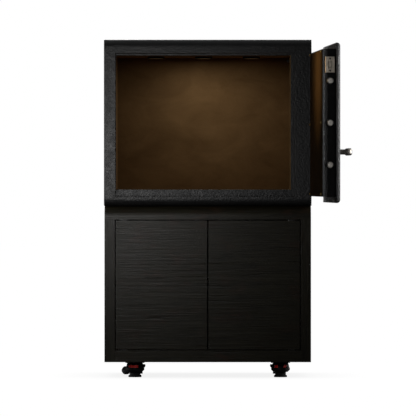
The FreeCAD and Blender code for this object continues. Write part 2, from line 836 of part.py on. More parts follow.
def latch_housing(side):
    y = front + cabinet_door_wall + latch_setback
    x = side * latch_offset
    body = box(x - latch_width / 2, x + latch_width / 2, y, y + latch_length,
               cabinet_high - latch_height, cabinet_high)
    return body.cut(plunger(side, running_fit, plunger_travel + seat_gap))


def cabinet():
    save("cabinet_sides", cabinet_side(-1), cabinet_side(1))
    save("cabinet_top", cabinet_top())
    save("cabinet_bottom", cabinet_bottom())
    save("cabinet_back", box(-cabinet_inner, cabinet_inner, cabinet_back, cabinet_back + cabinet_back_wall,
                             cabinet_low, cabinet_high))
    save("shelf", box(-cabinet_inner + shelf_play, cabinet_inner - shelf_play,
                      front + shelf_setback, cabinet_back, shelf_low, shelf_low + shelf_wall))
    save("shelf_pins", *[shelf_pin(side, y) for side in (-1, 1) for y in shelf_pin_places()])
    save("pivot_plates", *[pivot_plate(side, base, direction) for side in (-1, 1)
                           for base, direction in ((cabinet_low, 1), (cabinet_high, -1))])
    save("latch_housings", latch_housing(-1), latch_housing(1))
    for side, name in ((-1, "left"), (1, "right")):
        save("cabinet_door_" + name, cabinet_door(side))
        save("latch_plunger_" + name, plunger(side, 0, 0))


# Levelling casters, each built about its own axis with the wheel trailing along +X


def caster_plate():
    half = caster_plate_side / 2
    plate = box(-half, half, -half, half, caster_plate_low, caster_height)
    plate = plate.makeFillet(caster_plate_corner, edges_at(plate, z=caster_plate_low + caster_plate_wall / 2))
    post = upright(post_radius, 0, 0, flange_low, caster_plate_low)
    flange = upright(flange_radius, 0, 0, flange_low, flange_top)
    bore = upright(stem_radius + running_fit, 0, 0, flange_low - overrun, caster_height + overrun)
    return fuse([plate, post, flange]).cut(bore)


def housing_shell():
    """Turned outside of the swivel housing: a drum that rounds in to the ring under the plate."""
    shoulder = ring_low - shoulder_drop
    inset = housing_radius - housing_top_radius
    rise = ring_top - shoulder
    sweep = (inset ** 2 + rise ** 2) / (2 * inset)
    half_turn = math.asin(rise / sweep) / 2
    middle = Vector(housing_radius - sweep + sweep * math.cos(half_turn), 0,
                    shoulder + sweep * math.sin(half_turn))
    axis_low = Vector(0, 0, housing_low)
    rim_in = Vector(housing_radius - housing_chamfer, 0, housing_low)
    rim_out = Vector(housing_radius, 0, housing_low + housing_chamfer)
    bend = Vector(housing_radius, 0, shoulder)
    top_rim = Vector(housing_top_radius, 0, ring_top)
    axis_top = Vector(0, 0, ring_top)
    outline = Part.Wire([
        Part.makeLine(axis_low, rim_in),
        Part.makeLine(rim_in, rim_out),
        Part.makeLine(rim_out, bend),
        Part.Arc(bend, middle, top_rim).toShape(),
        Part.makeLine(top_rim, axis_top),
        Part.makeLine(axis_top, axis_low),
    ])
    return Part.Face(outline).revolve(Vector(0, 0, 0), Z_AXIS, 360)


def across(radius, half_width):
    """A round bar along the wheel's axle."""
    return rod(radius, Vector(wheel_offset, -half_width, wheel_height),
               Vector(wheel_offset, half_width, wheel_height))


def caster_housing():
    """Swivel housing: a fork for the wheel, windows for the thumbwheel and two pillars up to the ring."""
    slot_half = wheel_width / 2 + wheel_play
    fork_half = slot_half + fork_wall
    neck = box(0, wheel_offset, -fork_half, fork_half, housing_low, wheel_height + fork_radius)
    body = fuse([housing_shell(), neck, across(fork_radius, fork_half)])
    cavity_radius = thumbwheel_radius + thumbwheel_play
    reach = housing_radius + overrun
    windows = [box(-reach, reach, y0, y1, cavity_low, ring_low)
               for y0, y1 in ((-reach, -pillar_width / 2), (pillar_width / 2, reach))]
    slot = across(wheel_radius + wheel_play, slot_half)
    mouth = box(wheel_offset, wheel_offset + reach, -slot_half, slot_half,
                housing_low - overrun, wheel_height + wheel_radius + wheel_play)
    body = body.cut([
        upright(cavity_radius, 0, 0, cavity_low, ring_low),
        upright(stem_radius + stem_bore_play, 0, 0, housing_low - overrun, ring_low),
        upright(hub_radius + hub_play, 0, 0, housing_low - overrun, hub_top + foot_travel + hub_play),
        upright(post_radius + running_fit, 0, 0, ring_low - overrun, ring_top + overrun),
        slot,
        mouth,
        across(axle_radius + running_fit, reach),
        *windows,
    ])
    return body


def caster_wheel():
    """Wheel and the axle fast in it, which turns in the fork."""
    half = wheel_width / 2
    rim = across(wheel_radius, half)
    edges = edges_at(rim, y=half) + edges_at(rim, y=-half)
    axle = across(axle_radius, half + wheel_play + fork_wall)
    return [rim.makeChamfer(wheel_chamfer, edges).cut(axle), axle]


def caster_thumbwheel():
    """Grooved nut that screws the foot up and down."""
    wheel = upright(thumbwheel_radius, 0, 0, thumbwheel_low, thumbwheel_top)
    cuts = [upright(stem_radius + running_fit, 0, 0, thumbwheel_low - overrun, thumbwheel_top + overrun)]
    for i in range(thumbwheel_grips):
        angle = 2 * math.pi * i / thumbwheel_grips
        centre = thumbwheel_radius + grip_notch_radius / 2
        cuts.append(upright(grip_notch_radius, centre * math.cos(angle), centre * math.sin(angle),
                            thumbwheel_low - overrun, thumbwheel_top + overrun))
    return wheel.cut(cuts)


def caster_foot():
    """Rubber pad with a boss on it and the threaded stem that carries it."""
    pad = upright(pad_radius, 0, 0, 0, pad_height)
    pad = pad.makeChamfer(pad_chamfer, edges_at(pad, z=pad_height))
    hub = upright(hub_radius, 0, 0, pad_height, hub_top)
    return [fuse([pad, hub]), upright(stem_radius, 0, 0, hub_top, stem_top)]


def placed(solid, corner, yaw):
    x, y = caster_places[corner]
    set_down = solid.copy()
    set_down.rotate(Vector(0, 0, 0), Z_AXIS, yaw)
    set_down.translate(Vector(x, y, 0))
    return set_down


def casters():
    save("caster_plates", *[placed(caster_plate(), corner, 0) for corner in caster_places])
    housing = caster_housing()
    wheel = caster_wheel()
    thumbwheel = caster_thumbwheel()
    foot = caster_foot()
    for corner, yaw in caster_yaws.items():
        save("caster_housing_" + corner, placed(housing, corner, yaw))
        save("caster_wheel_" + corner, *[placed(solid, corner, yaw) for solid in wheel])
        save("caster_thumbwheel_" + corner, placed(thumbwheel, corner, 0))
        save("caster_foot_" + corner, *[placed(solid, corner, 0) for solid in foot])


os.makedirs("parts", exist_ok=True)
safe_body()
hinges()
safe_door()
bolt_work()
cabinet()
casters()
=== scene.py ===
import json
import math

import bmesh
import bpy
from mathutils import Matrix, Vector

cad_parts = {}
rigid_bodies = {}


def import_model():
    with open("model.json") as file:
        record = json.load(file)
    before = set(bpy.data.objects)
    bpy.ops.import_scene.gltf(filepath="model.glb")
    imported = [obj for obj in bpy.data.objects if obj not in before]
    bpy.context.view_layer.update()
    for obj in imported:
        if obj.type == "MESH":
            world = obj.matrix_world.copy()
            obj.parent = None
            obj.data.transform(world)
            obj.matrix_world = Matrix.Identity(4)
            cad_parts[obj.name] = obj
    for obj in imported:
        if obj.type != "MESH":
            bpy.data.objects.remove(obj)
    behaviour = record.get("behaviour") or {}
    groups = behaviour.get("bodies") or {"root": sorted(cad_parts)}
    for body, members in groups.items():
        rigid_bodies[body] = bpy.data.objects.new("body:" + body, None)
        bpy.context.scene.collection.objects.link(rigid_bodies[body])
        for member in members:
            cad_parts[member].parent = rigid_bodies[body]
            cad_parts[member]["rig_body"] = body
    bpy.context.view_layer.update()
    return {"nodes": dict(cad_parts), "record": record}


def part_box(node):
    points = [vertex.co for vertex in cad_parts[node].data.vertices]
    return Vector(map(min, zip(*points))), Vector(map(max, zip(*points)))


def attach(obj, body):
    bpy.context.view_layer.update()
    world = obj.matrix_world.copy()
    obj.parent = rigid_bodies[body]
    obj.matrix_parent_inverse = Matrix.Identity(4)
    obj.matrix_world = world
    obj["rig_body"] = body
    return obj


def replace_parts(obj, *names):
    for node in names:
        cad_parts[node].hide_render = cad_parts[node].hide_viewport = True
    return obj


# Bar armoire: finishes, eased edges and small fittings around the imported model. Metres.
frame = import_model()
nodes = frame["nodes"]
scene = bpy.context.scene
scene.view_settings.view_transform = "Standard"

# Camera, in the photograph's frame of square pixels
image_side_px = 416
focal_px = 5450.0
sensor_mm = 36.0
camera_distance = 20.0  # in front of the cabinet's front face
camera_height = 0.721
aim_x = 0.001
aim_height = 0.623

# Studio
floor_side = 80.0
floor_colour = (0.25, 0.25, 0.25, 1)
floor_shade = 0.86  # how white the floor looks where the object stands close over it
shade_reach = 0.25
mirror_fade = (-0.3, 2.0)  # from the dim front of the studio to its paler back, in reflections on the floor
world_fade = (-0.7, 0.5)  # the same for what lies behind the floor, by the direction in which it is seen
ambient_strength = 0.006
front_reflection = 0.03  # how bright the studio looks in reflections, towards the camera
back_reflection = 0.15
key_place = (-0.41, -1.6, 0.78)
key_aim = (-0.41, -0.25, 0.78)
key_size = (0.3, 0.6)
key_spread = math.radians(120)
key_power = 2.5
rim_place = (1.5, -1.6, 1.1)
rim_aim = (0.45, -0.9, 0.95)
rim_size = (0.3, 0.6)
rim_spread = math.radians(60)
rim_power = 2.8
fill_place = (0.95, -3.9, 1.0)  # square to the open door's lock edge
fill_aim = (0.46, -0.94, 1.0)
fill_size = (0.5, 0.9)
fill_power = 1.4
top_place = (-0.4, -0.2, 3.2)
top_aim = (0.0, 0.1, 0.6)
top_size = (2.2, 2.2)
top_power = 2.5
side_places = ((-2.8, 0.5, 1.5), (-1.3, 2.9, 1.6), (1.5, 2.8, 1.5), (2.8, 0.5, 1.4))
side_aim = (0.0, 0.1, 0.7)
side_size = (2.0, 2.0)
side_power = 90.0
low_place = (-0.1, -2.6, 0.5)  # for the thumbwheels under the cabinet
low_aim = (0.0, -0.2, 0.04)
low_size = (0.8, 0.4)
low_power = 7.0
door_side_place = (3.0, -0.9, 1.5)
door_side_power = 35.0
studio_colour = (1.0, 0.99, 0.98)

# Lamps inside the safe
lamp_colour = (1.0, 0.91, 0.81)
lamp_powers = (0.004, 0.54, 0.08)  # left to right
lamp_gap = 0.001  # lamp under its lens
lens_glow = 0.03
door_lamp_place = (-0.25, -0.9, 1.16)
door_lamp_aim = (0.4, -0.76, 1.15)
door_lamp_size = (0.06, 0.06)
door_lamp_spread = math.radians(52)
door_lamp_power = 0.1
door_lamp_colour = (1.0, 0.68, 0.34)

# Eased edges
steel_ease = 0.0015
wood_ease = 0.0008
door_ease = 0.0014  # of the cabinet doors, whose rounded edges are painted black: painted shade in the gaps between the doors
lining_ease = 0.0016
small_ease = 0.0006
ease_steps = 3
ease_angle = math.radians(38)
flat_angle = math.radians(0.4)
smooth_angle = math.radians(32)
weld_distance = 0.000005
facing_front = -0.7  # a face whose normal points further forwards than this is a front edge
top_roll = 0.04  # rounding of the cabinet top's front edge
top_roll_steps = 24

# Textures: how far across each pattern is, how deep its relief, and how far the wood's grain draws it out
pebble_size = 0.0068
pebble_depth = 0.0019
grit_size = 0.0014
grit_depth = 0.0003
coat_cloud_size = 0.05
coat_patch_size = 0.02
brush_size = 0.09  # strokes in the suede's nap
brush_stretch = (1.6, 1, 1)
fluff_size = 0.0022
fluff_patch_size = 0.004
nap_size = 0.0011
nap_depth = 0.0004
crease_size = 0.03
crease_depth = 0.0012
fibre_size = 0.0018
fibre_pull = 60
fibre_patch_size = 0.05
pore_depth = 0.0007
figure_size = 0.013
figure_pull = 12
streak_size = 0.007
streak_pull = 36
streak_depth = 0.0011
split_size = 0.04
split_pull = 40
split_depth = 0.0022
split_patch_size = 0.1
rust_size = 0.012
rust_pull = 4
rust_patch_size = 0.07
patch_pull = 1.6
metal_tone_size = 0.012
metal_grain = 0.0008
metal_depth = 0.00006
metal_polish_shares = (0.75, 1.3)  # how the roughness varies
plastic_tone_size = 0.01
plastic_polish_shares = (0.85, 1.15)
frost_size = 0.004
cast_size = 0.006
cast_pore_size = 0.003
cast_pore_depth = 0.0008

# Colours of the wood's stain, its worn spots and its splits
stain_dark = (0.0048, 0.004, 0.0018)
stain_light = (0.0272, 0.0236, 0.013)
rust_colour = (0.05, 0.021, 0.011)
split_colour = (0, 0, 0)

# Small fittings
return_right = 0.302  # inner edge of the steel return on the hinge side
return_wall = 0.0015
strip_width = 0.0035  # pale strip along the return's inner edge on the hinge side
strip_wall = 0.0008
panel_proud = 0.004  # lining of the door before its trim, with a rolled edge
roll_steps = 5
screw_radius = 0.005
screw_dome_share = 0.9  # height of a screw's dome, of its radius
screw_slot_share = 0.16  # half the width of its slot, of its radius
screw_cut_share = 0.45  # depth of its slot, of its radius
screw_steps = 32
dome_steps = 7
bolt_rim_share = 0.98  # turned end of a bolt, of the bolt's radius
bolt_face_share = 0.78
bolt_end = 0.0022
lock_screw_radius = 0.0034
lock_screw_inset = 0.0075  # from the ends of the lock's face plate
digit_height = 0.0105
digit_pitch_x = 0.0205
digit_pitch_z = 0.0225
digit_proud = 0.00025
digit_rows = ("123", "456", "789", " 0 ")


# Studio and camera


def area_lamp(name, place, aim, size, power, colour, shape="RECTANGLE", spread=math.pi):
    """A lamp turned towards a point, which the camera doesn't see."""
    data = bpy.data.lights.new(name, "AREA")
    data.shape = shape
    data.spread = spread
    data.size, data.size_y = size
    data.energy = power
    data.color = colour
    lamp = bpy.data.objects.new(name, data)
    lamp.location = place
    lamp.rotation_euler = (Vector(aim) - Vector(place)).to_track_quat("-Z", "Y").to_euler()
    lamp.visible_camera = False
    scene.collection.objects.link(lamp)
    return lamp


def add_camera():
    """A far camera, nearly square to the front."""
    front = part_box("cabinet_top")[0].y
    data = bpy.data.cameras.new("camera")
    data.sensor_width = sensor_mm
    data.lens = focal_px / image_side_px * sensor_mm
    data.clip_end = floor_side
    camera = bpy.data.objects.new("camera", data)
    camera.location = (aim_x, front - camera_distance, camera_height)
    aim = Vector((aim_x, front, aim_height))
    camera.rotation_euler = (aim - camera.location).to_track_quat("-Z", "Y").to_euler()
    scene.collection.objects.link(camera)
    scene.camera = camera


def link(tree, source, target):
    tree.links.new(source, target)


def bent_ray(tree, path):
    """One for rays that metal or glass has turned."""
    return calculated(tree, "MAXIMUM", path.outputs["Is Glossy Ray"], path.outputs["Is Transmission Ray"])


def add_world():
    """White to the camera, a dim studio in front of the object in reflections, and an even soft light."""
    world = bpy.data.worlds.new("studio")
    scene.world = world
    world.use_nodes = True
    tree = world.node_tree
    tree.nodes.clear()
    path = tree.nodes.new("ShaderNodeLightPath")
    coords = tree.nodes.new("ShaderNodeTexCoord")
    split = tree.nodes.new("ShaderNodeSeparateXYZ")
    link(tree, coords.outputs["Generated"], split.inputs[0])
    fade = span(tree, split.outputs["Y"], front_reflection, back_reflection, *world_fade, "SMOOTHSTEP")
    white = tree.nodes.new("ShaderNodeBackground")
    mirrored = tree.nodes.new("ShaderNodeBackground")
    soft = tree.nodes.new("ShaderNodeBackground")
    for background in (white, mirrored, soft):
        background.inputs["Color"].default_value = (1, 1, 1, 1)
    link(tree, fade, mirrored.inputs["Strength"])
    soft.inputs["Strength"].default_value = ambient_strength
    first = tree.nodes.new("ShaderNodeMixShader")
    link(tree, bent_ray(tree, path), first.inputs[0])
    link(tree, soft.outputs[0], first.inputs[1])
    link(tree, mirrored.outputs[0], first.inputs[2])
    second = tree.nodes.new("ShaderNodeMixShader")
    link(tree, path.outputs["Is Camera Ray"], second.inputs[0])
    link(tree, first.outputs[0], second.inputs[1])
    link(tree, white.outputs[0], second.inputs[2])
    output = tree.nodes.new("ShaderNodeOutputWorld")
    link(tree, second.outputs[0], output.inputs["Surface"])


def add_floor():
    """White floor that keeps the object's shadow and looks dim in reflections towards the camera."""
    mesh = bpy.data.meshes.new("floor")
    half = floor_side / 2
    outline = [(-half, -half, 0), (half, -half, 0), (half, half, 0), (-half, half, 0)]
    mesh.from_pydata(outline, [], [(0, 1, 2, 3)])
    floor = bpy.data.objects.new("floor", mesh)
    scene.collection.objects.link(floor)
    made = bpy.data.materials.new("floor")
    made.use_nodes = True
    tree = made.node_tree
    tree.nodes.clear()
    diffuse = tree.nodes.new("ShaderNodeBsdfDiffuse")
    diffuse.inputs["Color"].default_value = floor_colour
    path = tree.nodes.new("ShaderNodeLightPath")
    close = tree.nodes.new("ShaderNodeAmbientOcclusion")
    close.inputs["Distance"].default_value = shade_reach
    seen = span(tree, close.outputs["AO"], floor_shade, 1.0, 0.0, 1.0)
    split = tree.nodes.new("ShaderNodeSeparateXYZ")
    link(tree, tree.nodes.new("ShaderNodeNewGeometry").outputs["Position"], split.inputs[0])
    mirrored = span(tree, split.outputs["Y"], front_reflection, back_reflection, *mirror_fade)
    glow = tree.nodes.new("ShaderNodeEmission")
    straight = product(tree, seen, path.outputs["Is Camera Ray"])
    bent = product(tree, mirrored, bent_ray(tree, path))
    link(tree, calculated(tree, "ADD", straight, bent), glow.inputs["Strength"])
    both = tree.nodes.new("ShaderNodeAddShader")
    link(tree, diffuse.outputs[0], both.inputs[0])
    link(tree, glow.outputs[0], both.inputs[1])
    output = tree.nodes.new("ShaderNodeOutputMaterial")
    link(tree, both.outputs[0], output.inputs["Surface"])
    mesh.materials.append(made)
    return floor


def receivers(lamps, name, pieces, state):
    """Lets the lamps light only these pieces, or all but these."""
    group = bpy.data.collections.new(name)
    for piece in pieces:
        group.objects.link(piece)
        group.collection_objects[-1].light_linking.link_state = state
    for lamp in lamps:
        lamp.light_linking.receiver_collection = group


def door_pieces():
    """All that swings with the safe's door."""
    return [piece for piece in scene.objects if piece.get("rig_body") in door_bodies]


def add_studio_lamps(floor):
    """Studio lamps; the open door and the lined inside have lamps of their own."""
    studio = [area_lamp("key", key_place, key_aim, key_size, key_power, studio_colour, spread=key_spread),
              area_lamp("top", top_place, top_aim, top_size, top_power, studio_colour)]
    for place in side_places:
        studio.append(area_lamp("side", place, side_aim, side_size, side_power, studio_colour))
    door = [area_lamp("rim", rim_place, rim_aim, rim_size, rim_power, studio_colour, spread=rim_spread),
            area_lamp("fill", fill_place, fill_aim, fill_size, fill_power, studio_colour),
            area_lamp("door_side", door_side_place, rim_aim, side_size, door_side_power, studio_colour),
            area_lamp("door_lamp", door_lamp_place, door_lamp_aim, door_lamp_size, door_lamp_power,
                      door_lamp_colour, spread=door_lamp_spread)]
    inside = [piece for piece in scene.objects if piece.name.removesuffix("_eased") in inner_nodes]
    receivers(studio, "out of the studio light", door_pieces() + inside + [floor], "EXCLUDE")
    receivers(door, "in the door's light", door_pieces(), "INCLUDE")
    low = area_lamp("low", low_place, low_aim, low_size, low_power, studio_colour)
    receivers([low], "thumbwheels", [nodes["caster_thumbwheel_" + corner] for corner in corners], "INCLUDE")


# Material tools


def material(name, **values):
    """A new material and its shader; a value's name is the socket's with underscores."""
    made = bpy.data.materials.new(name)
    made.use_nodes = True
    shader = made.node_tree.nodes["Principled BSDF"]
    sockets = {socket.name.replace(" ", "_"): socket for socket in shader.inputs}
    for key, value in values.items():
        sockets[key].default_value = value
    return made, made.node_tree, shader


def noise(tree, size, detail=2.0, stretch=(1, 1, 1), rough=0.5, twist=0.0):
    """Noise whose blotches are about size across, drawn out along the axes by stretch."""
    coords = tree.nodes.new("ShaderNodeTexCoord")
    mapping = tree.nodes.new("ShaderNodeMapping")
    mapping.inputs["Scale"].default_value = [1 / (size * pull) for pull in stretch]
    texture = tree.nodes.new("ShaderNodeTexNoise")
    texture.inputs["Scale"].default_value = 1.0
    texture.inputs["Detail"].default_value = detail
    texture.inputs["Roughness"].default_value = rough
    texture.inputs["Distortion"].default_value = twist
    link(tree, coords.outputs["Object"], mapping.inputs["Vector"])
    link(tree, mapping.outputs["Vector"], texture.inputs["Vector"])
    return texture.outputs[0]


def ramp(tree, factor, stops):
    """Colours along the factor, from pairs of a place and a colour."""
    node = tree.nodes.new("ShaderNodeValToRGB")
    elements = node.color_ramp.elements
    while len(elements) < len(stops):
        elements.new(1.0)
    for element, (position, colour) in zip(elements, stops):
        element.position = position
        element.color = (*colour, 1)
    link(tree, factor, node.inputs["Fac"])
    return node.outputs["Color"]


def span(tree, factor, low, high, start=0.3, end=0.7, course="LINEAR"):
    """From low to high while the factor goes from start to end."""
    node = tree.nodes.new("ShaderNodeMapRange")
    node.interpolation_type = course
    node.inputs["From Min"].default_value = start
    node.inputs["From Max"].default_value = end
    node.inputs["To Min"].default_value = low
    node.inputs["To Max"].default_value = high
    link(tree, factor, node.inputs["Value"])
    return node.outputs[0]


def calculated(tree, operation, first, second):
    node = tree.nodes.new("ShaderNodeMath")
    node.operation = operation
    link(tree, first, node.inputs[0])
    link(tree, second, node.inputs[1])
    return node.outputs[0]


def product(tree, first, second):
    return calculated(tree, "MULTIPLY", first, second)


def bump(tree, height, depth, strength=1.0, under=None):
    """Relief as deep as depth, laid over the relief under it."""
    node = tree.nodes.new("ShaderNodeBump")
    node.inputs["Distance"].default_value = depth
    node.inputs["Strength"].default_value = strength
    link(tree, height, node.inputs["Height"])
    if under is not None:
        link(tree, under, node.inputs["Normal"])
    return node.outputs["Normal"]


def layered(tree, first, second, factor):
    """Two colours mixed by a factor that varies over the surface."""
    node = tree.nodes.new("ShaderNodeMix")
    node.data_type = "RGBA"
    link(tree, factor, node.inputs["Factor"])
    link(tree, first, node.inputs["A"])
    link(tree, second, node.inputs["B"])
    return node.outputs["Result"]


# Materials


def powder_coat(name, dark, light, specular):
    """Pebbled black powder coat."""
    made, tree, shader = material(name, Specular_IOR_Level=specular)
    pebble = noise(tree, pebble_size)
    patch = noise(tree, coat_patch_size, 3)
    clouds = ramp(tree, noise(tree, coat_cloud_size, 4), [(0.3, dark), (0.7, light)])
    specks = ramp(tree, pebble, [(0.32, dark), (0.68, light)])
    link(tree, layered(tree, clouds, specks, span(tree, patch, 0.5, 0.9)), shader.inputs["Base Color"])
    link(tree, span(tree, patch, 0.41, 0.53), shader.inputs["Roughness"])
    pebbles = bump(tree, pebble, pebble_depth, 0.8)
    link(tree, bump(tree, noise(tree, grit_size), grit_depth, 0.6, pebbles), shader.inputs["Normal"])
    return made


def suede(name, dark, light):
    """Short-napped lining with brushed lights and darks."""
    made, tree, shader = material(name, Roughness=0.92, Sheen_Weight=0.25, Sheen_Roughness=0.45,
                                  Sheen_Tint=(0.9, 0.68, 0.42, 1), Specular_IOR_Level=0.1)
    strokes = noise(tree, brush_size, 5, brush_stretch, 0.6, 0.6)
    brushed = ramp(tree, strokes, [(0.3, dark), (0.72, light)])
    speck = ramp(tree, noise(tree, fluff_size, 3), [(0.3, dark), (0.75, light)])
    patch = span(tree, noise(tree, fluff_patch_size), 0.2, 0.6)
    link(tree, layered(tree, brushed, speck, patch), shader.inputs["Base Color"])
    nap = bump(tree, noise(tree, nap_size, 3), nap_depth, 0.8)
    link(tree, bump(tree, noise(tree, crease_size), crease_depth, 0.25, nap), shader.inputs["Normal"])
    return made


def stained_wood(name, grain, split_strength):
    """Black-stained, satin-lacquered wood; grain is the axis that its fibres follow."""
    made, tree, shader = material(name, Specular_IOR_Level=0.27)
    fibre = noise(tree, fibre_size, 5, along(grain, fibre_pull), 0.62)
    figure = noise(tree, figure_size, 4, along(grain, figure_pull), 0.6, 0.8)
    streak = noise(tree, streak_size, 3, along(grain, streak_pull), 0.6, 0.3)
    splits = thin_lines(tree, noise(tree, split_size, 1, along(grain, split_pull), 0.4),
                        noise(tree, split_patch_size, 1, along(grain, patch_pull)))
    boards = ramp(tree, figure, [(0.28, stain_dark), (0.74, stain_light)])
    fibres = ramp(tree, fibre, [(0.32, stain_dark), (0.66, stain_light)])
    stain = layered(tree, boards, fibres, span(tree, noise(tree, fibre_patch_size), 0.2, 0.6))
    flecks = noise(tree, rust_size, 3, along(grain, rust_pull))
    rust = ramp(tree, flecks, [(0.35, stain_dark), (0.7, rust_colour)])
    worn = span(tree, noise(tree, rust_patch_size, 3, along(grain, patch_pull)), 0.0, 0.6, 0.52, 0.75)
    tinted = layered(tree, stain, rust, worn)
    gap = ramp(tree, splits, [(0.0, stain_dark), (1.0, split_colour)])
    link(tree, layered(tree, tinted, gap, splits), shader.inputs["Base Color"])
    link(tree, span(tree, fibre, 0.33, 0.5), shader.inputs["Roughness"])
    pores = bump(tree, fibre, pore_depth, 0.45)
    ripple = bump(tree, streak, streak_depth, 0.75, pores)
    link(tree, bump(tree, splits, -split_depth, split_strength, ripple), shader.inputs["Normal"])
    return made


def thin_lines(tree, field, patch):
    """Thin lines where a noise crosses its middle, here and there."""
    rise = span(tree, field, 0.0, 1.0, 0.485, 0.5)
    fall = span(tree, field, 1.0, 0.0, 0.5, 0.515)
    return product(tree, product(tree, rise, fall), span(tree, patch, 0.0, 0.6, 0.52, 0.66))


def along(axis, pull):
    """A stretch along one axis."""
    return tuple(pull if name == axis else 1 for name in "XYZ")


def metal(name, dark, light, roughness, grain=metal_grain):
    """Metal whose polish and tone vary a little."""
    made, tree, shader = material(name, Metallic=1.0)
    tone = noise(tree, metal_tone_size, 3)
    link(tree, ramp(tree, tone, [(0.3, dark), (0.7, light)]), shader.inputs["Base Color"])
    brushed = noise(tree, grain, 3)
    polish = [roughness * share for share in metal_polish_shares]
    link(tree, span(tree, brushed, *polish), shader.inputs["Roughness"])
    link(tree, bump(tree, brushed, metal_depth, 0.5), shader.inputs["Normal"])
    return made


def plastic(name, dark, light, roughness, grain, depth, specular=0.4):
    """Moulded plastic, rubber or smooth paint with a fine grain."""
    made, tree, shader = material(name, Specular_IOR_Level=specular)
    tone = noise(tree, plastic_tone_size, 3)
    link(tree, ramp(tree, tone, [(0.3, dark), (0.7, light)]), shader.inputs["Base Color"])
    fine = noise(tree, grain)
    polish = [roughness * share for share in plastic_polish_shares]
    link(tree, span(tree, fine, *polish), shader.inputs["Roughness"])
    link(tree, bump(tree, fine, depth, 0.6), shader.inputs["Normal"])
    return made


def lit_lens(name):
    """Frosted lens that glows."""
    made, tree, shader = material(name, Roughness=0.4, Emission_Strength=lens_glow)
    frost = noise(tree, frost_size, 3)
    pale = ramp(tree, frost, [(0.3, (0.85, 0.7, 0.5)), (0.7, (0.95, 0.85, 0.7))])
    warm = ramp(tree, frost, [(0.3, (0.95, 0.62, 0.3)), (0.7, (1.0, 0.72, 0.38))])
    link(tree, pale, shader.inputs["Base Color"])
    link(tree, warm, shader.inputs["Emission Color"])
    return made


def cast_fill(name):
    """Pale cast slab with fine pores."""
    made, tree, shader = material(name, Roughness=0.95)
    cast = ramp(tree, noise(tree, cast_size, 6), [(0.3, (0.3, 0.29, 0.27)), (0.7, (0.5, 0.49, 0.46))])
    link(tree, cast, shader.inputs["Base Color"])
    link(tree, bump(tree, noise(tree, cast_pore_size, 4), cast_pore_depth), shader.inputs["Normal"])
    return made


def grey(level):
    return (level, level, level)


coat = powder_coat("safe_coat", (0.004, 0.0041, 0.0043), (0.0138, 0.0142, 0.0148), specular=0.55)
inner_coat = powder_coat("inner_coat", (0.014, 0.014, 0.0143), (0.022, 0.022, 0.0223), specular=0.3)
tan = suede("lining_suede", (0.15, 0.088, 0.036), (0.3, 0.188, 0.085))
# Matte black for the linings' front edges, and painted shade on the cabinet doors' rounded edges, which
# darkens the gaps between the doors
black_edging_and_gap_shade = plastic("lining_edge", (0.006, 0.0055, 0.005), (0.01, 0.0095, 0.009),
                 roughness=0.85, grain=0.0012, depth=0.0003, specular=0.15)
wood_x = stained_wood("wood_along_x", "X", split_strength=0.6)
wood_z = stained_wood("wood_along_z", "Z", split_strength=0.15)
zinc = metal("zinc", (0.44, 0.44, 0.43), (0.58, 0.57, 0.55), roughness=0.36)
nickel = metal("satin_nickel", (0.46, 0.44, 0.4), (0.62, 0.6, 0.55), roughness=0.34)
trim_metal = metal("satin_trim", (0.091, 0.094, 0.098), (0.14, 0.144, 0.15), roughness=0.4)
brass = metal("brass", (0.66, 0.44, 0.16), (0.86, 0.62, 0.26), roughness=0.28)
lock_metal = metal("lock_metal", (0.46, 0.41, 0.34), (0.62, 0.55, 0.46), roughness=0.36, grain=0.003)
chrome = metal("satin_chrome", (0.36, 0.34, 0.31), (0.5, 0.47, 0.43), roughness=0.42)
black_metal = plastic("black_metal", grey(0.012), grey(0.02), roughness=0.42, grain=0.0016, depth=0.0002)
black_plastic = plastic("black_plastic", grey(0.012), grey(0.019), roughness=0.5, grain=0.0008, depth=0.0002)
grey_plastic = plastic("grey_plastic", (0.3, 0.3, 0.31), (0.38, 0.38, 0.39),
                       roughness=0.5, grain=0.0008, depth=0.0002)
caster_plastic = plastic("caster_plastic", grey(0.005), grey(0.009),
                         roughness=0.5, grain=0.0007, depth=0.0002, specular=0.2)
wheel_plastic = plastic("wheel_plastic", (0.016, 0.016, 0.017), (0.028, 0.028, 0.029),
                        roughness=0.5, grain=0.0012, depth=0.0002)
red_plastic = plastic("red_plastic", (0.55, 0.012, 0.008), (0.72, 0.022, 0.014),
                      roughness=0.38, grain=0.0012, depth=0.0001)
rubber = plastic("rubber", grey(0.01), grey(0.017), roughness=0.8, grain=0.0015, depth=0.0004, specular=0.2)
keypad_gloss = plastic("keypad_gloss", (0.004, 0.004, 0.005), (0.007, 0.007, 0.008),
                       roughness=0.14, grain=0.008, depth=0.00003, specular=0.5)
digit_ink = plastic("digit_ink", (0.5, 0.5, 0.52), (0.6, 0.6, 0.62),
                    roughness=0.5, grain=0.0008, depth=0.00005)
fill = cast_fill("cast_fill")
lens = lit_lens("lit_lens")

